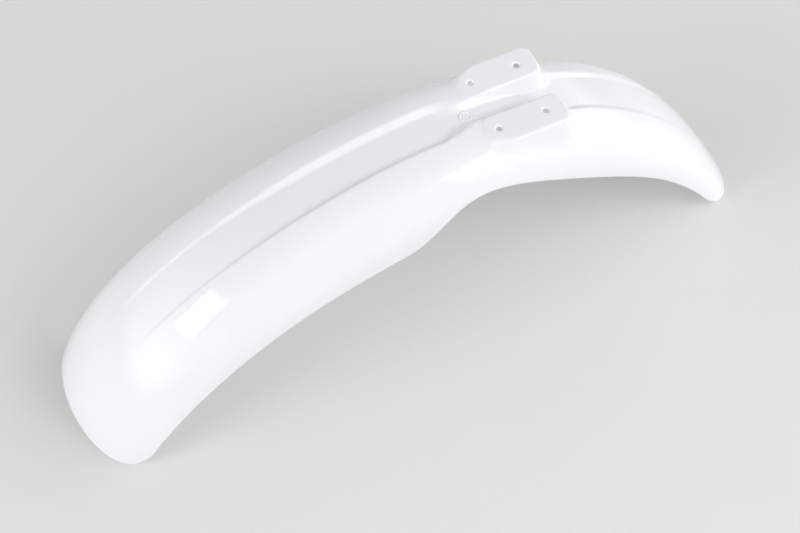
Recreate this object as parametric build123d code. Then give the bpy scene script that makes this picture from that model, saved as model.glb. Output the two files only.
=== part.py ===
from build123d import *

import math
import os

import numpy as np

# Front mudguard of a motorcycle: one moulded shell, arched over the wheel, with a sunken channel along
# its crown and two raised pads that bolt up under the fork bridge. Millimetres and degrees.
# The origin is the centre of the four bolt holes in the top plane of the pads. +X runs forward to the
# nose, +Y to the left side, +Z up along the bolts. Stations are lengths along the crown line, from the
# bolt centre.

# Shell
WALL = 3.0
RIM_ROUND = 1.2

# Crown line: how far it runs each way, and how steeply it climbs towards the nose along the way
NOSE_LENGTH = 617.0
TAIL_LENGTH = 388.0
CROWN_BELOW_PADS = 6.0
TAIL_CLIMB_ANGLE = 66.5
REAR_CLIMB_ANGLE = 45.0
MOUNT_CLIMB_ANGLE = 11.3
FORK_CLIMB_ANGLE = -14.7
FRONT_CLIMB_ANGLE = -35.5
NOSE_CLIMB_ANGLE = -69.0

# Arch across the crown: half width, height, and the power of its curve (2 is an ellipse)
TAIL_HALF_WIDTH = 68.0
REAR_HALF_WIDTH = 73.0
MOUNT_HALF_WIDTH = 76.0
FORK_HALF_WIDTH = 83.0
FRONT_HALF_WIDTH = 93.0
NOSE_HALF_WIDTH = 102.0
TAIL_ARCH = 33.0
MOUNT_ARCH = 72.0
FRONT_ARCH = 67.0
NOSE_ARCH = 57.0
TAIL_ARCH_POWER = 2.25
MOUNT_ARCH_POWER = 2.8
FRONT_ARCH_POWER = 2.25
NOSE_ARCH_POWER = 2.0

# Rim: how far the flanks hang below the crown line, with a notch that clears the fork legs
TAIL_DROP = 30.0
TAIL_FLANK_DROP = 46.0
REAR_FLANK_DROP = 59.0
NOTCH_REAR_DROP = 54.5
NOTCH_DROP = 45.0
NOTCH_RISE_DROP = 50.0
NOTCH_FRONT_DROP = 77.5
FORK_FLANK_DROP = 80.0
FRONT_FLANK_DROP = 69.0
NOSE_FLANK_DROP = 56.0
NOSE_DROP = 39.0
NOTCH_REAR = -31.0
NOTCH_START = 31.0
NOTCH_RISE = 93.0
NOTCH_FRONT = 148.0
NOTCH_END = 191.0
NOSE_CORNER = 46.0
TAIL_CORNER = 41.0

# Channel along the crown: half width to the middle of its walls, with a neck between the pads, then the
# run of a wall and the depth
TAIL_CHANNEL = 23.0
REAR_CHANNEL = 25.0
OPEN_CHANNEL = 23.5
NECK_CHANNEL = 11.4
FORK_CHANNEL = 21.8
FRONT_CHANNEL = 24.3
NECK_REAR = -60.0
NECK_START = 45.0
NECK_END = 90.0
CHANNEL_WALL_RUN = 11.0
CHANNEL_DEPTH = 6.5
CHANNEL_FULL_END = 180.0
CHANNEL_END = 490.0
TROUGH_DEPTH = 3.0
TROUGH_START = -110.0
TROUGH_END = -310.0

# Pads, which run out in a ramp to the front, and bolt holes
BOLT_SPACING_X = 54.0
BOLT_SPACING_Y = 66.0
BOLT_HOLE = 6.6
PAD_INNER_EDGE = 15.0
PAD_OUTER_EDGE = 53.5
PAD_REAR_END = 49.0
PAD_FRONT_END = 40.0
POCKET_FRONT_END = 32.0
PAD_CORNER = 11.0
PAD_DRAFT = 12.0
PAD_RAMP = 20.0
PAD_REACH = 60.0
PAD_EDGE_ROUND = 1.5
PAD_DEPTH = 40.0

# Ring left by the gate, in the channel just ahead of the pads
GATE_STATION = 49.0
GATE_RADIUS = 6.0
GATE_HEIGHT = 0.7

# Stock past the ends and flanks that the trim takes away, and the trim's reach around it
STOCK = 16.0
TRIM_CLEARANCE = 40.0
TRIM_OVERLAP_ANGLE = 12.0

# Counts of sections and points that the curves run through. The sections stand closer at the neck, which
# starts and ends at these shares of them.
BODY_SECTIONS = 48
NECK_REAR_SHARE = 0.3
NECK_END_SHARE = 0.6
FLANK_STEPS = 9
RIM_STEPS = 44
RIM_SPANS = 16
CORNER_STEPS = 8


def smooth_law(*pairs):
    """Natural cubic spline through (station, value) pairs, level beyond them."""
    station, value = np.array(sorted(pairs), float).T
    span = np.diff(station)
    slope = np.diff(value) / span
    count = len(station)
    matrix = np.eye(count)
    right = np.zeros(count)
    for i in range(1, count - 1):
        matrix[i, i - 1 : i + 2] = span[i - 1], 2 * (span[i - 1] + span[i]), span[i]
        right[i] = 6 * (slope[i] - slope[i - 1])
    bend = np.linalg.solve(matrix, right)

    def law(at):
        at = np.clip(at, station[0], station[-1])
        i = int(np.clip(np.searchsorted(station, at) - 1, 0, count - 2))
        ahead = station[i + 1] - at
        past = at - station[i]
        curve = (bend[i] * ahead**3 + bend[i + 1] * past**3) / (6 * span[i])
        start = (value[i] / span[i] - bend[i] * span[i] / 6) * ahead
        end = (value[i + 1] / span[i] - bend[i + 1] * span[i] / 6) * past
        return curve + start + end

    return law


def ease(share):
    """Smooth step from 0 to 1 with no kink in slope or bend at either end."""
    t = min(max(share, 0.0), 1.0)
    return t**3 * (10 - 15 * t + 6 * t * t)


def eased(at, pairs):
    """Value that eases from each (station, value) pair to the next and is level beyond them."""
    value = pairs[0][1]
    for (start, low), (end, high) in zip(pairs, pairs[1:]):
        value += (high - low) * ease((at - start) / (end - start))
    return value


# Stations where the laws are set
TAIL = -TAIL_LENGTH
REAR = -TAIL_LENGTH / 2
FORK = NOSE_LENGTH / 3
MIDDLE = NOSE_LENGTH / 2
FRONT = NOSE_LENGTH * 2 / 3
NOSE = NOSE_LENGTH

climb_law = smooth_law(
    (TAIL, TAIL_CLIMB_ANGLE),
    (REAR, REAR_CLIMB_ANGLE),
    (0, MOUNT_CLIMB_ANGLE),
    (FORK, FORK_CLIMB_ANGLE),
    (FRONT, FRONT_CLIMB_ANGLE),
    (NOSE, NOSE_CLIMB_ANGLE),
)
half_width_law = smooth_law(
    (TAIL, TAIL_HALF_WIDTH),
    (REAR, REAR_HALF_WIDTH),
    (0, MOUNT_HALF_WIDTH),
    (NOTCH_END, FORK_HALF_WIDTH),
    (FRONT, FRONT_HALF_WIDTH),
    (NOSE, NOSE_HALF_WIDTH),
)
arch_law = smooth_law((TAIL, TAIL_ARCH), (0, MOUNT_ARCH), (MIDDLE, FRONT_ARCH), (NOSE, NOSE_ARCH))
power_law = smooth_law(
    (TAIL, TAIL_ARCH_POWER), (0, MOUNT_ARCH_POWER), (MIDDLE, FRONT_ARCH_POWER), (NOSE, NOSE_ARCH_POWER)
)
drop_law = smooth_law(
    (TAIL, TAIL_DROP),
    (TAIL * 0.6, TAIL_FLANK_DROP),
    (TAIL * 0.3, REAR_FLANK_DROP),
    (NOTCH_REAR, NOTCH_REAR_DROP),
    (NOTCH_START, NOTCH_DROP),
    (NOTCH_RISE, NOTCH_RISE_DROP),
    (NOTCH_FRONT, NOTCH_FRONT_DROP),
    (NOTCH_END, FORK_FLANK_DROP),
    (MIDDLE, FRONT_FLANK_DROP),
    (NOSE * 0.75, NOSE_FLANK_DROP),
    (NOSE, NOSE_DROP),
)


def crown_table():
    """Stations every millimetre with the crown line's X, Z and climb in radians."""
    first = TAIL - 2 * STOCK
    last = NOSE + 2 * STOCK
    station = np.linspace(first, last, int(last - first))
    climb = np.radians([climb_law(s) for s in station])
    step = station[1] - station[0]
    x = np.concatenate([[0], np.cumsum(np.cos((climb[1:] + climb[:-1]) / 2) * step)])
    z = np.concatenate([[0], np.cumsum(np.sin((climb[1:] + climb[:-1]) / 2) * step)])
    x -= np.interp(0, station, x)
    z -= np.interp(0, station, z) + CROWN_BELOW_PADS
    return station, x, z, climb


CROWN = crown_table()


def place(station, across, height):
    """Point at a distance across and square to the crown line."""
    x, z, climb = (np.interp(station, CROWN[0], column) for column in CROWN[1:])
    return Vector(x - math.sin(climb) * height, across, z + math.cos(climb) * height)


def channel_width(station):
    """Half width of the channel to the middle of its walls, with the neck between the pads."""
    return eased(
        station,
        (
            (TAIL, TAIL_CHANNEL),
            (REAR, REAR_CHANNEL),
            (NECK_REAR, OPEN_CHANNEL),
            (NECK_START, NECK_CHANNEL),
            (NECK_END, FORK_CHANNEL),
            (FRONT, FRONT_CHANNEL),
        ),
    )


def channel_depth(station):
    """Depth of the channel: full along the front, a trough behind the pads, faded out at both ends."""
    return eased(
        station,
        (
            (TROUGH_END, 0.0),
            (TROUGH_START, TROUGH_DEPTH),
            (0.0, CHANNEL_DEPTH),
            (CHANNEL_FULL_END, CHANNEL_DEPTH),
            (CHANNEL_END, 0.0),
        ),
    )


def half_skin(station, t, stock):
    """Across and height of the outer skin, right of the crown line.

    t runs from 0 to 1 over the channel, to 2 over the flank and to 3 straight down past the rim.
    """
    half = half_width_law(station)
    arch = arch_law(station)
    power = power_law(station)
    middle = channel_width(station)
    edge = middle + CHANNEL_WALL_RUN
    if t <= 1:
        across = edge * t
        share = across / half
        height = -arch * (1 - (1 - share**power) ** (1 / power))
    else:
        first = math.asin((edge / half) ** (power / 2))
        turn = min(first + (math.pi / 2 - first) * (t - 1), math.pi / 2)
        across = half * math.sin(turn) ** (2 / power)
        skirt = max(drop_law(station) - arch, 0) + stock
        height = -arch * (1 - max(math.cos(turn), 0.0) ** (2 / power)) - skirt * max(t - 2, 0)
    sunk = 1 - ease((across - middle) / CHANNEL_WALL_RUN + 0.5)
    return across, height - channel_depth(station) * sunk


def skin_points(station, inset, stock):
    """Points of a whole section from the right flank to the left, set in from the outer skin."""
    nudge = 1e-4
    channel_steps = (0.0, 0.2, 0.36, 0.46, 0.56, 0.64, 0.72, 0.8, 0.9)
    flank_steps = [1 + i / FLANK_STEPS for i in range(FLANK_STEPS)]
    half = []
    for t in (*channel_steps, *flank_steps, 2.0, 3.0):
        across, height = half_skin(station, t, stock)
        before = half_skin(station, max(t - nudge, 0), stock)
        after = half_skin(station, t + nudge, stock)
        run = after[0] - before[0]
        rise = after[1] - before[1] if t > 0 else 0.0
        length = math.hypot(run, rise)
        half.append((across + inset * rise / length, height - inset * run / length))
    other = [(-across, height) for across, height in reversed(half[1:])]
    return [place(station, across, height) for across, height in other + half]


def arch_solid(inset, stock):
    """Solid under the skin, set in by inset, running past both ends and below the flanks by stock."""
    first = TAIL - stock
    last = NOSE + stock
    middle = skin_points(0, inset, stock)
    knots = [0.0]
    for near, far in zip(middle, middle[1:]):
        knots.append(knots[-1] + (far - near).length)
    shares = (0, NECK_REAR_SHARE, NECK_END_SHARE, 1)
    sections = []
    for share in np.linspace(0, 1, BODY_SECTIONS):
        station = np.interp(share, shares, (first, NECK_REAR, NECK_END, last))
        points = skin_points(station, inset, stock)
        skin = Edge.make_spline(points, parameters=knots)
        floor = Edge.make_line(points[-1], points[0])
        sections.append(Wire([skin, floor]))
    return Solid.make_loft(sections)


def corner_points(end, inward, radius):
    """Side view of the rounded rim at one end, from just over the crown line down to the flank."""
    points = []
    for i in range(CORNER_STEPS + 1):
        angle = math.radians((90 + TRIM_OVERLAP_ANGLE) * i / CORNER_STEPS - TRIM_OVERLAP_ANGLE)
        station = end + inward * radius * (1 - math.cos(angle))
        points.append(place(station, 0, -drop_law(station) * math.sin(angle)))
    return points


def side_trim():
    """Block that keeps what lies above the rim, seen from the side."""
    first = NOSE - NOSE_CORNER
    last = TAIL + TAIL_CORNER
    stations = [first + (last - first) * i / RIM_STEPS for i in range(1, RIM_STEPS)]
    flank = [place(station, 0, -drop_law(station)) for station in stations]
    nose = corner_points(NOSE, -1, NOSE_CORNER)
    tail = corner_points(TAIL, 1, TAIL_CORNER)
    rim = Edge.make_spline([*nose, *flank, *reversed(tail)])
    over = [place(station, 0, TRIM_CLEARANCE) for station in (TAIL, REAR, 0, FORK, FRONT, NOSE)]
    spans = [rim.trim(i / RIM_SPANS, (i + 1) / RIM_SPANS) for i in range(RIM_SPANS)]
    outline = Wire([*spans, *Polyline(rim @ 1, *over, rim @ 0).edges()])
    reach = max(NOSE_HALF_WIDTH, FRONT_HALF_WIDTH, TAIL_HALF_WIDTH) + TRIM_CLEARANCE
    return Solid.make_loft([Pos(0, -reach, 0) * outline, Pos(0, reach, 0) * outline], ruled=True)


def pad_block(side, inset, front_end):
    """One pad with drafted sides and a ramp in front, set in by inset, from its top down past the skin."""
    shrink = inset * math.tan(math.radians(45 - PAD_DRAFT / 2))
    front = front_end + PAD_REACH
    length = front + PAD_REAR_END - 2 * shrink
    width = PAD_OUTER_EDGE - PAD_INNER_EDGE - 2 * shrink
    centre = Pos((front - PAD_REAR_END) / 2, side * (PAD_OUTER_EDGE + PAD_INNER_EDGE) / 2, -inset)
    outline = centre * RectangleRounded(length, width, PAD_CORNER - shrink)
    block = extrude(outline, -PAD_DEPTH, taper=-PAD_DRAFT)
    block = fillet(block.edges().group_by(Axis.Z)[-1], PAD_EDGE_ROUND)
    slope = math.radians(PAD_RAMP)
    facing = Vector(math.sin(slope), 0, math.cos(slope))
    ramp = Plane(Vector(front_end, 0, 0) - facing * inset, z_dir=facing)
    return split(block, ramp, keep=Keep.BOTTOM)


def gate_ring():
    """Raised ring left by the mould's gate on the floor of the channel, half sunk in it."""
    floor = place(GATE_STATION, 0, -channel_depth(GATE_STATION))
    climb = climb_law(GATE_STATION)
    return Pos(floor) * Rot(0, -climb, 0) * Torus(GATE_RADIUS, GATE_HEIGHT)


def mudguard():
    outer = arch_solid(0, STOCK)
    cavity = arch_solid(WALL, 2 * STOCK)
    for side in (-1, 1):
        outer += pad_block(side, 0, PAD_FRONT_END)
        cavity += pad_block(side, WALL, POCKET_FRONT_END)
    outer += gate_ring()
    shell = (outer - cavity) & side_trim()
    outer_skin = shell.faces().sort_by(SortBy.AREA)[-1]
    shell = fillet(outer_skin.outer_wire().edges(), min(RIM_ROUND, 0.45 * WALL))
    for x in (-BOLT_SPACING_X / 2, BOLT_SPACING_X / 2):
        for y in (-BOLT_SPACING_Y / 2, BOLT_SPACING_Y / 2):
            shell -= Pos(x, y, 0) * Cylinder(BOLT_HOLE / 2, 2 * PAD_DEPTH)
    return shell


os.makedirs("parts", exist_ok=True)
export_step(mudguard(), "parts/mudguard.step")
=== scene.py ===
import math

import bpy
import numpy as np
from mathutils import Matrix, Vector


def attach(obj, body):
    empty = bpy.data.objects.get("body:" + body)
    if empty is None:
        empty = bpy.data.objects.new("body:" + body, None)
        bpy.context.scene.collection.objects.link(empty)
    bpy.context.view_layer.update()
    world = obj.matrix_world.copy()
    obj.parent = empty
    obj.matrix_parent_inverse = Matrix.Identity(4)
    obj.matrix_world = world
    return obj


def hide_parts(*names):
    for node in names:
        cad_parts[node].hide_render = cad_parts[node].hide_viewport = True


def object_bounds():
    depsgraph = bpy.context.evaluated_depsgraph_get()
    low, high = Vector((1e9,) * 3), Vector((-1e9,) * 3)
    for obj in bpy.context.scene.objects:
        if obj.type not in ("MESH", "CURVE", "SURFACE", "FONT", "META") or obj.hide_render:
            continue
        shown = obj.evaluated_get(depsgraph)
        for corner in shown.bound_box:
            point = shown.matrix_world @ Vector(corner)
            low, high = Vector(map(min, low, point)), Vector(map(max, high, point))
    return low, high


# A white motorcycle front mudguard on a pale studio floor. The shell follows the same laws as the solid,
# with softer edges: a crown line, a section across it, a rim and two pads. Lengths are millimetres until
# the mesh is made.

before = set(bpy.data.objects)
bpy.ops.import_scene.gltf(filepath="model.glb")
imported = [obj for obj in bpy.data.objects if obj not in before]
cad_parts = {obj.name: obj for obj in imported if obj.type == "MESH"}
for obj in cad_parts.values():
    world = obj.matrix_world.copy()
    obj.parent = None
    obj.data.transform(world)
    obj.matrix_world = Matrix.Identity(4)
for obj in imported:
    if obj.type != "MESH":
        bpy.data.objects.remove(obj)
CAD_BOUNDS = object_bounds()
MM = 0.001

# Shell. The outer edge of the rim is rounded more than the inner one.
WALL = 3.0
RIM_ROUND = 2.1
RIM_UNDER_ROUND = 0.7

# Crown line: how far it runs each way, and how steeply it climbs towards the nose along the way
NOSE_LENGTH = 617.0
TAIL_LENGTH = 388.0
CROWN_BELOW_PADS = 6.0
TAIL_CLIMB_ANGLE = 66.5
REAR_CLIMB_ANGLE = 45.0
MOUNT_CLIMB_ANGLE = 11.3
FORK_CLIMB_ANGLE = -14.7
FRONT_CLIMB_ANGLE = -35.5
NOSE_CLIMB_ANGLE = -69.0

# Arch across the crown: half width, height, and the power of its curve (2 is an ellipse)
TAIL_HALF_WIDTH = 68.0
REAR_HALF_WIDTH = 73.0
MOUNT_HALF_WIDTH = 76.0
FORK_HALF_WIDTH = 83.0
FRONT_HALF_WIDTH = 93.0
NOSE_HALF_WIDTH = 102.0
TAIL_ARCH = 33.0
MOUNT_ARCH = 72.0
FRONT_ARCH = 67.0
NOSE_ARCH = 57.0
TAIL_ARCH_POWER = 2.25
MOUNT_ARCH_POWER = 2.8
FRONT_ARCH_POWER = 2.25
NOSE_ARCH_POWER = 2.0

# Rim: how far the flanks hang below the crown line, with a notch that clears the fork legs
TAIL_DROP = 30.0
TAIL_FLANK_DROP = 46.0
REAR_FLANK_DROP = 59.0
NOTCH_REAR_DROP = 54.5
NOTCH_DROP = 45.0
NOTCH_RISE_DROP = 50.0
NOTCH_FRONT_DROP = 77.5
FORK_FLANK_DROP = 80.0
FRONT_FLANK_DROP = 69.0
NOSE_FLANK_DROP = 56.0
NOSE_DROP = 39.0
NOTCH_REAR = -31.0
NOTCH_START = 31.0
NOTCH_RISE = 93.0
NOTCH_FRONT = 148.0
NOTCH_END = 191.0
NOSE_CORNER = 46.0
TAIL_CORNER = 41.0

# Channel along the crown: half width to the middle of its walls, with a neck between the pads, then the
# run of a wall and the depth
TAIL_CHANNEL = 23.0
REAR_CHANNEL = 25.0
OPEN_CHANNEL = 23.5
NECK_CHANNEL = 11.4
FORK_CHANNEL = 21.8
FRONT_CHANNEL = 24.3
NECK_REAR = -60.0
NECK_START = 45.0
NECK_END = 90.0
CHANNEL_WALL_RUN = 11.0
FRONT_WALL_RUN = 5.0
CHANNEL_DEPTH = 7.5
FRONT_DEPTH = 1.3
CHANNEL_FULL_END = 180.0
CHANNEL_END = 500.0
TROUGH_DEPTH = 2.3
TROUGH_START = -110.0
TROUGH_END = -310.0

# Pads and bolt holes. The draft is an angle from the vertical, and the front ramp's slope one from level.
BOLT_SPACING_X = 54.0
BOLT_SPACING_Y = 66.0
BOLT_HOLE = 6.6
PAD_INNER_EDGE = 15.0
PAD_OUTER_EDGE = 53.5
PAD_REAR_END = 49.0
PAD_FRONT_END = 40.0
POCKET_FRONT_END = 32.0
PAD_CORNER = 11.0
PAD_FRONT_CORNER = 24.0
POCKET_FRONT_CORNER = 16.5
PAD_DRAFT = 12.0
PAD_RAMP = 20.0
PAD_EDGE_ROUND = 3.2
PAD_FOOT_ROUND = 9.0
RAMP_EDGE_ROUND = 9.0
HOLE_EDGE_ROUND = 2.3
HOLE_UNDER_ROUND = 0.4

# A pad that is almost flush with the skin: how far its wall spreads, the blend past its foot, and how near
# the two surfaces are where they start to melt together
FLUSH_SPREAD = 3.0
FLUSH_BLEND = 2.0
FLUSH_REACH = 0.6

# Largest rounds of a pad, as shares of the wall's length, of the room to the border of the pad's rings of
# quads, and of the room beside a bolt hole
EDGE_WALL_SHARE = 0.4
FOOT_WALL_SHARE = 0.55
FOOT_ROOM_SHARE = 0.75
PAD_EDGE_SHARE = 0.7
POCKET_EDGE_SHARE = 0.25

# Ring left by the gate, in the channel just ahead of the pads
GATE_STATION = 49.0
GATE_RADIUS = 6.0
GATE_HEIGHT = 1.0

# Mesh: quads along and across half of the shell, the share of a section in the last column, and the angle
# round an end's corner where its short edge meets the long rim
ROWS = 296
COLUMNS = 58
RIM_COLUMN = 0.035
CORNER_SPLIT = math.radians(50)
CORNER_SAMPLES = 200
RIM_BEND_STEPS = 5
SHARP_ANGLE = math.radians(50)

# How far the straight part below the arch runs for each unit of the section's parameter
SKIRT = 20.0

# Rings of quads around a pad: the stations and shares of girth that they fill, their places on the skin, up
# the wall and in to a hole, and the last one inside the rounded edge
PAD_PATCH_REAR = -76.0
PAD_PATCH_FRONT = 80.0
PAD_PATCH_INNER = 0.045
PAD_PATCH_OUTER = 0.8
SKIN_RINGS = (0.3, 0.6, 0.85)
WALL_RINGS = (0.33, 0.67)
HOLE_RINGS = (0.3, 0.55, 0.75, 0.9, 1.0)
TOP_RING = 1.0
TOP_RING_SHARE = 0.15
FOOT_BEND_STEPS = 9
EDGE_BEND_STEPS = 6
HOLE_BEND_STEPS = 5

# How far the points around a hole move from their own angles to even ones
EVEN_SHARE = 0.4

# Rounds of the searches for the skin above a place in the ground plan and for the foot of a pad's wall
PLAN_ROUNDS = 12
FOOT_ROUNDS = 8

# Share of the half width that the skin near the pads is worked out to, and how near the middle plane a
# point belongs to both halves
WIDTH_LIMIT = 0.999
ON_MIDDLE = 1e-6

# Steps round the gate's ring, and round its own section
GATE_STEPS = 64
GATE_TUBE_STEPS = 12

# Finish. A noise is its scale in waves for each metre and its detail, and only its middle range is used.
# Roughness runs between two values, and relief is in metres.
NOISE_LOW = 0.3
NOISE_HIGH = 0.7
PLASTIC_DARK = (0.825, 0.84, 0.864)
PLASTIC_LIGHT = (0.84, 0.855, 0.878)
PLASTIC_IOR = 1.49
FLOW_NOISE = (14.0, 3.0)
GLOSS_NOISE = (45.0, 4.0)
GLOSS_ROUGHNESS = (0.05, 0.09)
SATIN_NOISE = (900.0, 2.0)
SATIN_ROUGHNESS = (0.36, 0.46)
WAVE_NOISE = (60.0, 1.0)
WAVE_DEPTH = 0.00002
GRAIN_NOISE = (2500.0, 2.0)
GRAIN_DEPTH = 0.000001
UNDERSIDE = "underside"
FLOOR_DARK = (0.75, 0.75, 0.741)
FLOOR_LIGHT = (0.765, 0.765, 0.755)
FLOOR_NOISE = (3.0, 5.0)
FLOOR_ROUGHNESS = (0.7, 0.8)
FLOOR_SPECULAR = 0.2
FLOOR_REACH = 40.0

# Light. Directions are azimuth and elevation in degrees, lengths are metres, and a surface of brightness 1
# shows as white. A panel has its direction and distance from the point that it faces, its width, its height
# and its brightness. Its power is for each square metre of brightness 1.
LIT_POINT = (0.1, 0.0, -0.1)
KEY_PANEL = (130.0, 40.0, 1.9, 1.2, 0.9, 2.2)
NOSE_SOFTBOX = (7.5, 32.0, 2.1, 0.82, 0.5, 4.5)
PANEL_POWER = 4.0

# Glows of the surround: direction and brightness. They settle to about the floor's tone at the horizon,
# over a rise that is the sine of an elevation.
GLOW_FADE = 8.0
GLOWS = (
    (0.0, 10.0, 3.05),
    (45.0, 15.0, 0.85),
    (45.0, 45.0, 0.45),
    (90.0, 45.0, 0.42),
    (135.0, 15.0, 2.15),
    (180.0, 15.0, 2.85),
    (225.0, 15.0, 1.15),
    (315.0, 15.0, 1.2),
)
HORIZON_TONE = 0.62
HORIZON_RISE = 0.26

# Camera
CAMERA_PLACE = (0.7412, 1.2637, 1.8566)
CAMERA_AZIMUTH = 153.98
CAMERA_ELEVATION = 56.09
LENS = 102.4
SENSOR_WIDTH = 36.0


def smooth_law(*pairs):
    """Natural cubic spline through (station, value) pairs, level beyond them."""
    station, value = np.array(sorted(pairs), float).T
    span = np.diff(station)
    slope = np.diff(value) / span
    count = len(station)
    matrix = np.eye(count)
    right = np.zeros(count)
    for i in range(1, count - 1):
        matrix[i, i - 1 : i + 2] = span[i - 1], 2 * (span[i - 1] + span[i]), span[i]
        right[i] = 6 * (slope[i] - slope[i - 1])
    bend = np.linalg.solve(matrix, right)

    def law(at):
        at = np.clip(at, station[0], station[-1])
        i = np.clip(np.searchsorted(station, at) - 1, 0, count - 2)
        ahead = station[i + 1] - at
        past = at - station[i]
        curve = (bend[i] * ahead**3 + bend[i + 1] * past**3) / (6 * span[i])
        start = (value[i] / span[i] - bend[i] * span[i] / 6) * ahead
        end = (value[i + 1] / span[i] - bend[i + 1] * span[i] / 6) * past
        return curve + start + end

    return law


def ease(share):
    """Smooth step from 0 to 1 with no kink in slope or bend at either end."""
    t = np.clip(share, 0.0, 1.0)
    return t**3 * (10 - 15 * t + 6 * t * t)


def eased(at, pairs):
    """Value that eases from each (station, value) pair to the next and is level beyond them."""
    value = pairs[0][1]
    for (start, low), (end, high) in zip(pairs, pairs[1:]):
        value = value + (high - low) * ease((at - start) / (end - start))
    return value


# Stations where the laws are set
TAIL = -TAIL_LENGTH
REAR = -TAIL_LENGTH / 2
FORK = NOSE_LENGTH / 3
MIDDLE = NOSE_LENGTH / 2
FRONT = NOSE_LENGTH * 2 / 3
NOSE = NOSE_LENGTH
TAIL_FLANK = TAIL * 0.6
REAR_FLANK = TAIL * 0.3
NOSE_FLANK = NOSE * 0.75

climb_law = smooth_law(
    (TAIL, TAIL_CLIMB_ANGLE),
    (REAR, REAR_CLIMB_ANGLE),
    (0, MOUNT_CLIMB_ANGLE),
    (FORK, FORK_CLIMB_ANGLE),
    (FRONT, FRONT_CLIMB_ANGLE),
    (NOSE, NOSE_CLIMB_ANGLE),
)
half_width_law = smooth_law(
    (TAIL, TAIL_HALF_WIDTH),
    (REAR, REAR_HALF_WIDTH),
    (0, MOUNT_HALF_WIDTH),
    (NOTCH_END, FORK_HALF_WIDTH),
    (FRONT, FRONT_HALF_WIDTH),
    (NOSE, NOSE_HALF_WIDTH),
)
arch_law = smooth_law((TAIL, TAIL_ARCH), (0, MOUNT_ARCH), (MIDDLE, FRONT_ARCH), (NOSE, NOSE_ARCH))
power_law = smooth_law(
    (TAIL, TAIL_ARCH_POWER), (0, MOUNT_ARCH_POWER), (MIDDLE, FRONT_ARCH_POWER), (NOSE, NOSE_ARCH_POWER)
)
drop_law = smooth_law(
    (TAIL, TAIL_DROP),
    (TAIL_FLANK, TAIL_FLANK_DROP),
    (REAR_FLANK, REAR_FLANK_DROP),
    (NOTCH_REAR, NOTCH_REAR_DROP),
    (NOTCH_START, NOTCH_DROP),
    (NOTCH_RISE, NOTCH_RISE_DROP),
    (NOTCH_FRONT, NOTCH_FRONT_DROP),
    (NOTCH_END, FORK_FLANK_DROP),
    (MIDDLE, FRONT_FLANK_DROP),
    (NOSE_FLANK, NOSE_FLANK_DROP),
    (NOSE, NOSE_DROP),
)


def crown_table():
    """Stations every millimetre with the crown line's X, Z and climb in radians."""
    station = np.linspace(TAIL, NOSE, int(NOSE - TAIL) + 1)
    climb = np.radians(climb_law(station))
    step = station[1] - station[0]
    x = np.concatenate([[0], np.cumsum(np.cos((climb[1:] + climb[:-1]) / 2) * step)])
    z = np.concatenate([[0], np.cumsum(np.sin((climb[1:] + climb[:-1]) / 2) * step)])
    x -= np.interp(0, station, x)
    z -= np.interp(0, station, z) + CROWN_BELOW_PADS
    return station, x, z, climb


CROWN = crown_table()


def place(station, across, height):
    """Points at distances across and square to the crown line."""
    x, z, climb = (np.interp(station, CROWN[0], column) for column in CROWN[1:])
    return np.stack([x - np.sin(climb) * height, across + 0 * x, z + np.cos(climb) * height], axis=-1)


def channel_width(station):
    """Half width of the channel to the middle of its walls, with the neck between the pads."""
    return eased(
        station,
        (
            (TAIL, TAIL_CHANNEL),
            (REAR, REAR_CHANNEL),
            (NECK_REAR, OPEN_CHANNEL),
            (NECK_START, NECK_CHANNEL),
            (NECK_END, FORK_CHANNEL),
            (FRONT, FRONT_CHANNEL),
        ),
    )


def channel_depth(station):
    """Depth of the channel: full along the front, a trough behind the pads, faded out at both ends."""
    return eased(
        station,
        (
            (TROUGH_END, 0.0),
            (TROUGH_START, TROUGH_DEPTH),
            (0.0, CHANNEL_DEPTH),
            (CHANNEL_FULL_END, CHANNEL_DEPTH),
            (FRONT, FRONT_DEPTH),
            (CHANNEL_END, 0.0),
        ),
    )


def sunk(station, across):
    """How far the channel lies below the plain arch."""
    run = eased(station, ((CHANNEL_FULL_END, CHANNEL_WALL_RUN), (FRONT, FRONT_WALL_RUN)))
    share = (np.abs(across) - channel_width(station)) / run + 0.5
    return channel_depth(station) * (1 - ease(share))


def flank_start(station):
    """Across and turn angle where the section passes from channel to flank."""
    edge = channel_width(station) + CHANNEL_WALL_RUN
    turn = np.arcsin((edge / half_width_law(station)) ** (power_law(station) / 2))
    return edge, turn


def section(station, t):
    """Across and height of the outer skin, left of the crown line.

    t runs from 0 to 1 over the channel, to 2 over the flank and on straight down.
    """
    half = half_width_law(station)
    arch = arch_law(station)
    power = power_law(station)
    edge, first = flank_start(station)
    size = np.abs(t)
    turn = first + (math.pi / 2 - first) * np.clip(size - 1, 0, 1)
    across = np.where(size < 1, edge * size, half * np.sin(turn) ** (2 / power))
    crown = 1 - np.clip(1 - (across / half) ** power, 0, 1) ** (1 / power)
    flank = 1 - np.clip(np.cos(turn), 0, 1) ** (2 / power)
    drop = arch * np.where(size < 1, crown, flank) + SKIRT * np.clip(size - 2, 0, None)
    return np.sign(t) * across, -drop - sunk(station, across)


def skin(station, t, inset):
    """Points of the skin, set in from the outer one."""
    nudge = 1e-4
    across, height = section(station, t)
    before = section(station, t - nudge)
    after = section(station, t + nudge)
    run = after[0] - before[0]
    rise = after[1] - before[1]
    length = np.hypot(run, rise)
    return place(station, across + inset * rise / length, height - inset * run / length)


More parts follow.
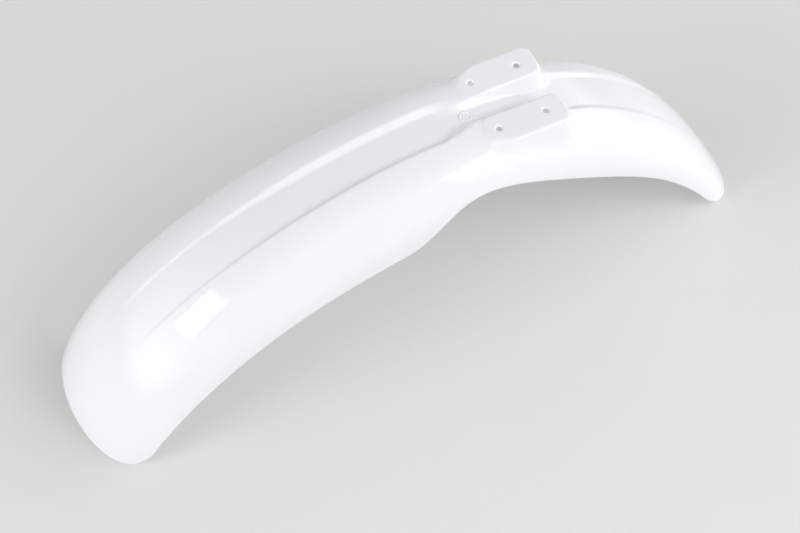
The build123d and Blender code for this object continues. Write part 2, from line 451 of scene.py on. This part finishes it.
def rim_t(station, drop):
    """Section parameter where the plain arch hangs that far below the crown line."""
    arch = arch_law(station)
    power = power_law(station)
    edge, first = flank_start(station)
    turn = np.arccos(np.clip(1 - drop / arch, 0, 1) ** (power / 2))
    across = half_width_law(station) * np.sin(turn) ** (2 / power)
    on_arch = np.where(across < edge, across / edge, 1 + (turn - first) / (math.pi / 2 - first))
    return np.where(drop > arch, 2 + (drop - arch) / SKIRT, on_arch)


# Even measure of the section that the columns of quads are spaced by, against its parameter t
GIRTH = (0.0, 0.1, 0.31, 0.34, 1.0, 1.15)
GIRTH_T = (0.0, 0.5, 0.88, 1.0, 2.0, 3.0)


def end_stations(end, inward, corner, out):
    """Stations along the rounded rim of one end, at even shares of girth from its middle outwards."""
    angle = np.linspace(0, CORNER_SPLIT, CORNER_SAMPLES)
    station = end + inward * corner * (1 - np.cos(angle))
    girth = np.interp(rim_t(station, drop_law(station) * np.sin(angle)), GIRTH_T, GIRTH)
    return np.interp(out * girth[-1], girth, station)


def rim_drop(station):
    """Drop of the rim, rounded off towards both ends."""
    nose = np.clip((station - NOSE + NOSE_CORNER) / NOSE_CORNER, 0, 1)
    tail = np.clip((TAIL + TAIL_CORNER - station) / TAIL_CORNER, 0, 1)
    return drop_law(station) * np.sqrt(1 - nose**2) * np.sqrt(1 - tail**2)


def shell_grid():
    """Stations and section parameters of the left half: rows from tail to nose, columns down to the rim."""
    along = np.linspace(0, 1, ROWS + 1)[:, None]
    out = np.append(np.linspace(0, 1 - RIM_COLUMN, COLUMNS), 1.0)[None, :]
    tail_station = end_stations(TAIL, 1, TAIL_CORNER, out)
    nose_station = end_stations(NOSE, -1, NOSE_CORNER, out)
    first = tail_station[0, -1]
    last = nose_station[0, -1]
    rim_station = first + (last - first) * along
    rim_girth = np.interp(rim_t(rim_station, rim_drop(rim_station)), GIRTH_T, GIRTH)
    station = rim_station + (1 - along) * (tail_station - first) + along * (nose_station - last)
    return station, np.interp(out * rim_girth, GIRTH, GIRTH_T)


def unit(vectors):
    """Vectors brought to a length of 1."""
    return vectors / np.linalg.norm(vectors, axis=1, keepdims=True)


def skin_under(x, y, inset):
    """Height of the skin at points of the ground plan near the pads."""
    station = np.array(x, float)
    for _ in range(PLAN_ROUNDS):
        climb = np.radians(climb_law(station))
        point = place(station, y, skin_height(station, y, inset))
        station = station + (x - point[..., 0]) / np.cos(climb)
    return place(station, y, skin_height(station, y, inset))[..., 2]


def skin_height(station, across, inset):
    """Height of the skin square to the crown line, at a distance across it."""

    def outer(at):
        share = np.clip(np.abs(at) / half_width_law(station), 0, WIDTH_LIMIT)
        power = power_law(station)
        return -arch_law(station) * (1 - (1 - share**power) ** (1 / power)) - sunk(station, at)

    nudge = 0.01
    slope = (outer(across + nudge) - outer(across - nudge)) / (2 * nudge)
    return outer(across) - inset * np.sqrt(1 + slope**2)


def pad_outline(points, inset, front_end):
    """Nearest points of a pad's top outline to points around it.

    With them come the directions out of the outline and how its walls spread for each millimetre down.
    """
    shrink = inset * math.tan(math.radians(45 - PAD_DRAFT / 2))
    ramp_shrink = inset * math.tan(math.radians(PAD_RAMP / 2))
    draft = math.tan(math.radians(PAD_DRAFT))
    ramp = 1 / math.tan(math.radians(PAD_RAMP))
    low = np.array([-PAD_REAR_END, PAD_INNER_EDGE]) + PAD_CORNER
    high = np.array([front_end - ramp_shrink, PAD_OUTER_EDGE - shrink])
    front_corner = PAD_FRONT_CORNER if inset == 0 else POCKET_FRONT_CORNER
    outer_front = np.all(points > (0.0, (low[1] + high[1] - front_corner) / 2), axis=1, keepdims=True)
    corner = np.where(outer_front, front_corner, PAD_CORNER) - shrink
    core = np.clip(points, low, high - corner)
    outward = unit(points - core)
    forward = np.clip(outward[:, :1], 0, 1) ** 2
    return core + outward * corner, outward, draft * outward + (ramp - draft) * forward * (1.0, 0.0)


def pad_top(plan, inset):
    """Points on a pad's flat top, or on the skin where that rises above it."""
    x, y = plan.T
    skin_z = skin_under(x, y, inset)
    gap = np.abs(skin_z + inset)
    bulge = np.clip(FLUSH_REACH - gap, 0, None) ** 2 / (4 * FLUSH_REACH)
    return np.column_stack([x, y, np.maximum(skin_z, -inset) + bulge])


def bend_between(start, corner, end, steps):
    """Rings that round a corner from start to end."""
    rings = []
    for t in np.linspace(0, 1, steps):
        rings.append((1 - t) ** 2 * start + 2 * t * (1 - t) * corner + t**2 * end)
    return rings


def room_beside_holes(plan, inset):
    """Distances from points of the ground plan to the rounded edge of the nearest bolt hole."""
    edge = BOLT_HOLE / 2 + (HOLE_EDGE_ROUND if inset == 0 else HOLE_UNDER_ROUND)
    front = np.linalg.norm(plan - (BOLT_SPACING_X / 2, BOLT_SPACING_Y / 2), axis=1, keepdims=True)
    rear = np.linalg.norm(plan - (-BOLT_SPACING_X / 2, BOLT_SPACING_Y / 2), axis=1, keepdims=True)
    return np.minimum(front, rear) - edge


def pad_rings(border, inset, front_end):
    """Rings of points from a border in the skin up to the flat top of a pad."""
    outline, outward, spread = pad_outline(border[:, :2], inset, front_end)
    edge = pad_top(outline, inset)

    def on_skin(plan):
        x, y = plan.T
        return np.column_stack([x, y, skin_under(x, y, inset)])

    foot = on_skin(outline)
    for _ in range(FOOT_ROUNDS):
        depth = edge[:, 2:] - foot[:, 2:]
        foot = on_skin(outline + spread * depth + outward * np.clip(FLUSH_SPREAD - depth, 0, None))
    wall = np.linalg.norm(foot - edge, axis=1, keepdims=True)
    down = (foot - edge) / wall
    forward = np.clip(down[:, :1], 0, 1)
    free = room_beside_holes(outline, inset)
    edge_round = PAD_EDGE_ROUND + (RAMP_EDGE_ROUND - PAD_EDGE_ROUND) * forward
    edge_round = np.minimum(edge_round, EDGE_WALL_SHARE * wall)
    edge_round = np.minimum(edge_round, (PAD_EDGE_SHARE if inset == 0 else POCKET_EDGE_SHARE) * free)
    foot_round = np.minimum(PAD_FOOT_ROUND, FOOT_WALL_SHARE * wall)
    top_ring = edge_round + np.minimum(TOP_RING, TOP_RING_SHARE * free)
    upper = edge + down * edge_round
    lower = foot - down * foot_round
    away = border[:, :2] - foot[:, :2]
    room = np.linalg.norm(away, axis=1, keepdims=True)
    blend = foot[:, :2] + away / room * np.minimum(foot_round + FLUSH_BLEND, FOOT_ROOM_SHARE * room)
    rings = [on_skin(border[:, :2] + (blend - border[:, :2]) * share) for share in SKIN_RINGS]
    rings += bend_between(on_skin(blend), foot, lower, FOOT_BEND_STEPS)
    rings += [lower + (upper - lower) * share for share in WALL_RINGS]
    rings += bend_between(upper, edge, pad_top(outline - outward * edge_round, inset), EDGE_BEND_STEPS)
    rings.append(pad_top(outline - outward * top_ring, inset))
    return rings


def hole_rings(border, centre, inset):
    """Rings of points from a border on a pad's top in to a bolt hole, over the rounded edge of the hole.

    On the way in the points spread more evenly around the hole.
    """
    spoke = border[:, :2] - centre
    length = np.linalg.norm(spoke, axis=1)
    angle = np.unwrap(np.arctan2(spoke[:, 1], spoke[:, 0]))
    even = np.linspace(0, 2 * math.pi, len(border), endpoint=False) * np.sign(angle[-1] - angle[0])
    shift = EVEN_SHARE * (even + np.mean(angle - even) - angle)
    radius = BOLT_HOLE / 2
    edge_round = HOLE_EDGE_ROUND if inset == 0 else HOLE_UNDER_ROUND

    def around(at, reach):
        return centre + np.column_stack([reach * np.cos(at), reach * np.sin(at)])

    rings = []
    for share in HOLE_RINGS:
        reach = length + (radius + edge_round - length) * share
        rings.append(pad_top(around(angle + shift * share, reach), inset))
    mouth = np.column_stack([around(angle + shift, radius), np.full(len(border), -inset)])
    throat = mouth - (0.0, 0.0, edge_round if inset == 0 else -edge_round)
    return rings + bend_between(rings[-1], mouth, throat, HOLE_BEND_STEPS)[1:]


def ring_faces(outer, inner):
    """Quads between two closed rings of vertex numbers."""
    faces = []
    for k in range(len(outer)):
        after = (k + 1) % len(outer)
        faces.append((outer[k], outer[after], inner[after], inner[k]))
    return faces


class HalfSkin:
    """Left half of one skin: its points, its quads, its rim and the edges of its bolt holes."""

    def __init__(self, inset, pad_front):
        self.points = []
        self.faces = []
        self.holes = []
        station, t = shell_grid()
        grid = self.add(skin(station, t, inset).reshape(-1, 3)).reshape(station.shape)
        self.rim = np.concatenate([grid[0, :-1], grid[:, -1], grid[-1, -2::-1]])
        rows = [i for i in range(ROWS) if PAD_PATCH_REAR < station[i, 0] < PAD_PATCH_FRONT]
        columns = range(round(PAD_PATCH_INNER * COLUMNS), round(PAD_PATCH_OUTER * COLUMNS))
        for i in range(ROWS):
            for j in range(COLUMNS):
                if not (rows[0] <= i < rows[-1] and columns[0] <= j < columns[-1]):
                    self.faces.append((grid[i, j], grid[i + 1, j], grid[i + 1, j + 1], grid[i, j + 1]))
        self.add_pad(grid, rows, columns, inset, pad_front)

    def add(self, points):
        """Adds points and gives back their numbers."""
        first = len(self.points)
        self.points.extend(points)
        return np.arange(first, len(self.points))

    def add_pad(self, grid, rows, columns, inset, pad_front):
        """Fills the gap left in the grid with a pad and its two bolt holes."""
        inner = [grid[i, columns[0]] for i in rows[:-1]]
        front = [grid[rows[-1], j] for j in columns[:-1]]
        outer = [grid[i, columns[-1]] for i in rows[:0:-1]]
        rear = [grid[rows[0], j] for j in columns[:0:-1]]
        ring = np.array(inner + front + outer + rear)
        border = np.array([self.points[k] for k in ring])
        for points in pad_rings(border, inset, pad_front):
            numbers = self.add(points)
            self.faces += ring_faces(ring, numbers)
            ring = numbers
        split = len(inner) // 2
        opposite = len(inner) + len(front) + len(outer) - split
        start = self.points[ring[split]]
        end = self.points[ring[opposite]]
        shares = np.linspace(0, 1, len(front) + 1)[1:-1]
        middle = self.add([start + (end - start) * share for share in shares])
        front_loop = np.concatenate([ring[split : opposite + 1], middle[::-1]])
        rear_loop = np.concatenate([ring[opposite:], ring[: split + 1], middle])
        for loop, x in ((front_loop, BOLT_SPACING_X / 2), (rear_loop, -BOLT_SPACING_X / 2)):
            border = np.array([self.points[k] for k in loop])
            for points in hole_rings(border, np.array([x, BOLT_SPACING_Y / 2]), inset):
                numbers = self.add(points)
                self.faces += ring_faces(loop, numbers)
                loop = numbers
            self.holes.append(loop)


def rim_rows(edge, inward):
    """Rows of points that round the rim from skin to skin, with its face cut square to the side view."""
    along = np.gradient(edge, axis=0)
    side_view = along * (1.0, 0.0, 1.0)
    along[0] = (0.0, 1.0, 0.0)
    along[-1] = (0.0, -1.0, 0.0)
    side_view[0] = side_view[1]
    side_view[-1] = side_view[-2]
    along = unit(along)
    side_view = unit(side_view)
    face_out = np.column_stack([side_view[:, 2], 0 * side_view[:, 1], -side_view[:, 0]])
    over = np.cross(face_out, along)
    past = np.cross(along, inward)
    thickness = WALL / np.sum(over * inward, axis=1, keepdims=True)
    far_edge = edge + over * thickness
    outside = past * RIM_ROUND
    inside = past * RIM_UNDER_ROUND
    rows = bend_between(edge - outside, edge, edge + over * RIM_ROUND, RIM_BEND_STEPS)
    rows += bend_between(far_edge - over * RIM_UNDER_ROUND, far_edge, far_edge - inside, RIM_BEND_STEPS)
    return rows


def half_shell():
    """Points and quads of the left half: outer skin, inner skin, rounded rim and hole walls."""
    outer = HalfSkin(0.0, PAD_FRONT_END)
    inner = HalfSkin(WALL, POCKET_FRONT_END)
    shift = len(outer.points)
    points = np.array(outer.points + inner.points)
    faces = list(outer.faces)
    faces += [tuple(k + shift for k in reversed(face)) for face in inner.faces]
    edge = points[outer.rim]
    rows = rim_rows(edge, unit(points[inner.rim + shift] - edge))
    points[outer.rim] = rows[0]
    points[inner.rim + shift] = rows[-1]
    numbers = [outer.rim]
    for row in rows[1:-1]:
        numbers.append(np.arange(len(points), len(points) + len(row)))
        points = np.concatenate([points, row])
    numbers.append(inner.rim + shift)
    for above, below in zip(numbers, numbers[1:]):
        for k in range(len(edge) - 1):
            faces.append((above[k], above[k + 1], below[k + 1], below[k]))
    for top, bottom in zip(outer.holes, inner.holes):
        faces += ring_faces(top, bottom + shift)
    under = np.zeros(len(points))
    under[shift : shift + len(inner.points)] = 1.0
    return points, faces, under


def gate_ring():
    """Points and quads of the ring left by the gate, half sunk in the channel's floor."""
    around = np.linspace(0, 2 * math.pi, GATE_STEPS, endpoint=False)
    rings = []
    for tube in np.linspace(0, 2 * math.pi, GATE_TUBE_STEPS, endpoint=False):
        reach = GATE_RADIUS + GATE_HEIGHT * math.cos(tube)
        height = GATE_HEIGHT * math.sin(tube) - channel_depth(GATE_STATION)
        rings.append(place(GATE_STATION + reach * np.cos(around), reach * np.sin(around), height))
    numbers = np.arange(GATE_TUBE_STEPS * GATE_STEPS).reshape(GATE_TUBE_STEPS, GATE_STEPS)
    faces = []
    for k in range(GATE_TUBE_STEPS):
        faces += ring_faces(numbers[k - 1], numbers[k])
    return np.concatenate(rings), faces


def mesh_object(name, points, faces, under):
    """Smooth-shaded object from points in millimetres, without its unused points.

    The points of its underside are marked.
    """
    mesh = bpy.data.meshes.new(name)
    used, numbers = np.unique(np.concatenate([np.array(face) for face in faces]), return_inverse=True)
    corners = iter(numbers.tolist())
    mesh.from_pydata((points[used] * MM).tolist(), [], [[next(corners) for _ in face] for face in faces])
    mark = mesh.attributes.new(UNDERSIDE, "FLOAT", "POINT")
    mark.data.foreach_set("value", under[used])
    mesh.shade_smooth()
    mesh.set_sharp_from_angle(angle=SHARP_ANGLE)
    piece = bpy.data.objects.new(name, mesh)
    bpy.context.scene.collection.objects.link(piece)
    return piece


def inside_box(points):
    """Points drawn in, where they would pass the solid's box."""
    low, high = np.array(CAD_BOUNDS) / MM
    centre = (low + high) / 2
    reach = np.abs(points - centre).max(axis=0)
    return centre + (points - centre) * np.minimum(1.0, (high - low) / 2 / reach)


def build_shell():
    """The whole shell: the left half, its mirror image joined along the crown, and the gate's ring."""
    points, faces, under = half_shell()
    own = np.arange(len(points))
    twin = np.where(np.abs(points[:, 1]) < ON_MIDDLE, own, own + len(points)).tolist()
    ring_points, ring_quads = gate_ring()
    shift = 2 * len(points)
    all_points = np.concatenate([points, points * (1.0, -1.0, 1.0), ring_points])
    all_faces = faces + [tuple(twin[k] for k in reversed(face)) for face in faces]
    all_faces += [tuple(shift + k for k in face) for face in ring_quads]
    all_under = np.concatenate([under, under, np.zeros(len(ring_points))])
    return mesh_object("mudguard_shell", inside_box(all_points), all_faces, all_under)


def new_material(name):
    """A node material, with its nodes, its links and its shader."""
    material = bpy.data.materials.new(name)
    material.use_nodes = True
    tree = material.node_tree
    return material, tree.nodes, tree.links, tree.nodes["Principled BSDF"]


def noise_node(nodes, links, scale, detail):
    """Noise fixed to the piece."""
    where = nodes.new("ShaderNodeTexCoord")
    noise = nodes.new("ShaderNodeTexNoise")
    noise.inputs["Scale"].default_value = scale
    noise.inputs["Detail"].default_value = detail
    links.new(where.outputs["Object"], noise.inputs["Vector"])
    return noise.outputs["Fac"]


def ranged(nodes, links, source, low, high):
    """The middle range of a noise spread between two values."""
    spread = nodes.new("ShaderNodeMapRange")
    spread.inputs["From Min"].default_value = NOISE_LOW
    spread.inputs["From Max"].default_value = NOISE_HIGH
    spread.inputs["To Min"].default_value = low
    spread.inputs["To Max"].default_value = high
    links.new(source, spread.inputs["Value"])
    return spread.outputs["Result"]


def two_tone(nodes, links, source, dark, light):
    """A colour that drifts between two tones with a noise."""
    ramp = nodes.new("ShaderNodeValToRGB")
    ramp.color_ramp.elements[0].position = NOISE_LOW
    ramp.color_ramp.elements[0].color = (*dark, 1.0)
    ramp.color_ramp.elements[1].position = NOISE_HIGH
    ramp.color_ramp.elements[1].color = (*light, 1.0)
    links.new(source, ramp.inputs["Fac"])
    return ramp.outputs["Color"]


def bump(nodes, links, source, depth, below=None):
    """Relief of a given depth in metres, on top of another relief if there is one."""
    relief = nodes.new("ShaderNodeBump")
    relief.inputs["Strength"].default_value = 1.0
    relief.inputs["Distance"].default_value = depth
    links.new(source, relief.inputs["Height"])
    if below:
        links.new(below, relief.inputs["Normal"])
    return relief.outputs["Normal"]


def plastic():
    """Glossy white moulded plastic, with a drifting tone and sheen, faint waves and a fine grain.

    The underside is a duller satin.
    """
    material, nodes, links, shader = new_material("white_gloss_plastic")
    flow = noise_node(nodes, links, *FLOW_NOISE)
    links.new(two_tone(nodes, links, flow, PLASTIC_DARK, PLASTIC_LIGHT), shader.inputs["Base Color"])
    gloss = ranged(nodes, links, noise_node(nodes, links, *GLOSS_NOISE), *GLOSS_ROUGHNESS)
    satin = ranged(nodes, links, noise_node(nodes, links, *SATIN_NOISE), *SATIN_ROUGHNESS)
    side = nodes.new("ShaderNodeAttribute")
    side.attribute_name = UNDERSIDE
    finish = nodes.new("ShaderNodeMix")
    links.new(side.outputs["Fac"], finish.inputs["Factor"])
    links.new(gloss, finish.inputs["A"])
    links.new(satin, finish.inputs["B"])
    links.new(finish.outputs["Result"], shader.inputs["Roughness"])
    waves = bump(nodes, links, noise_node(nodes, links, *WAVE_NOISE), WAVE_DEPTH)
    grain = bump(nodes, links, noise_node(nodes, links, *GRAIN_NOISE), GRAIN_DEPTH, waves)
    links.new(grain, shader.inputs["Normal"])
    shader.inputs["IOR"].default_value = PLASTIC_IOR
    return material


def floor_paint():
    """Pale matt studio floor with a faint mottle."""
    material, nodes, links, shader = new_material("pale_floor")
    mottle = noise_node(nodes, links, *FLOOR_NOISE)
    links.new(two_tone(nodes, links, mottle, FLOOR_DARK, FLOOR_LIGHT), shader.inputs["Base Color"])
    links.new(ranged(nodes, links, mottle, *FLOOR_ROUGHNESS), shader.inputs["Roughness"])
    shader.inputs["Specular IOR Level"].default_value = FLOOR_SPECULAR
    return material


def build_floor():
    """The studio floor, level with the lowest point of the solid."""
    height = CAD_BOUNDS[0][2]
    corners = []
    for x, y in ((-1, -1), (1, -1), (1, 1), (-1, 1)):
        corners.append((x * FLOOR_REACH, y * FLOOR_REACH, height))
    mesh = bpy.data.meshes.new("floor")
    mesh.from_pydata(corners, [], [(0, 1, 2, 3)])
    mesh.materials.append(floor_paint())
    floor = bpy.data.objects.new("floor", mesh)
    bpy.context.scene.collection.objects.link(floor)


def towards(azimuth, elevation):
    """Direction from the object, with azimuth turning from +X to +Y."""
    level = math.cos(math.radians(elevation))
    turn = math.radians(azimuth)
    return Vector((level * math.cos(turn), level * math.sin(turn), math.sin(math.radians(elevation))))


def add_panel(name, azimuth, elevation, distance, width, height, brightness):
    """A soft light panel that faces the object."""
    data = bpy.data.lights.new(name, "AREA")
    data.shape = "RECTANGLE"
    data.size = width
    data.size_y = height
    data.energy = PANEL_POWER * brightness * width * height
    light = bpy.data.objects.new(name, data)
    bpy.context.scene.collection.objects.link(light)
    light.location = Vector(LIT_POINT) + distance * towards(azimuth, elevation)
    light.rotation_euler = towards(azimuth, elevation).to_track_quat("Z", "Y").to_euler()


def set_world():
    """The studio around: dim overhead, with soft glows low down all round and higher on two sides."""
    world = bpy.data.worlds.new("studio")
    world.use_nodes = True
    nodes = world.node_tree.nodes
    links = world.node_tree.links

    def math_node(operation, first, second):
        node = nodes.new("ShaderNodeMath")
        node.operation = operation
        for value, socket in zip((first, second), node.inputs):
            if isinstance(value, float):
                socket.default_value = value
            else:
                links.new(value, socket)
        return node.outputs["Value"]

    way = nodes.new("ShaderNodeTexCoord").outputs["Generated"]

    def facing(direction):
        node = nodes.new("ShaderNodeVectorMath")
        node.operation = "DOT_PRODUCT"
        node.inputs[1].default_value = direction
        links.new(way, node.inputs[0])
        return math_node("MAXIMUM", node.outputs["Value"], 0.0)

    total = 0.0
    for azimuth, elevation, brightness in GLOWS:
        lobe = math_node("POWER", facing(towards(azimuth, elevation)), GLOW_FADE)
        total = math_node("ADD", total, math_node("MULTIPLY", lobe, brightness))
    rise = nodes.new("ShaderNodeMapRange")
    rise.interpolation_type = "SMOOTHSTEP"
    rise.inputs["From Max"].default_value = HORIZON_RISE
    links.new(facing((0.0, 0.0, 1.0)), rise.inputs["Value"])
    above = math_node("MULTIPLY", math_node("SUBTRACT", total, HORIZON_TONE), rise.outputs["Result"])
    links.new(math_node("ADD", above, HORIZON_TONE), nodes["Background"].inputs["Strength"])
    nodes["Background"].inputs["Color"].default_value = (1.0, 1.0, 1.0, 1.0)
    bpy.context.scene.world = world


def add_camera():
    """The photo's camera."""
    data = bpy.data.cameras.new("camera")
    data.lens = LENS
    data.sensor_width = SENSOR_WIDTH
    camera = bpy.data.objects.new("camera", data)
    bpy.context.scene.collection.objects.link(camera)
    camera.location = CAMERA_PLACE
    camera.rotation_euler = (math.radians(90 - CAMERA_ELEVATION), 0.0, math.radians(CAMERA_AZIMUTH))
    bpy.context.scene.camera = camera


shell = build_shell()
shell.data.materials.append(plastic())
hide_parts("mudguard")
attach(shell, "root")
build_floor()
add_panel("key_panel", *KEY_PANEL)
add_panel("nose_softbox", *NOSE_SOFTBOX)
set_world()
add_camera()
bpy.context.scene.view_settings.view_transform = "Standard"
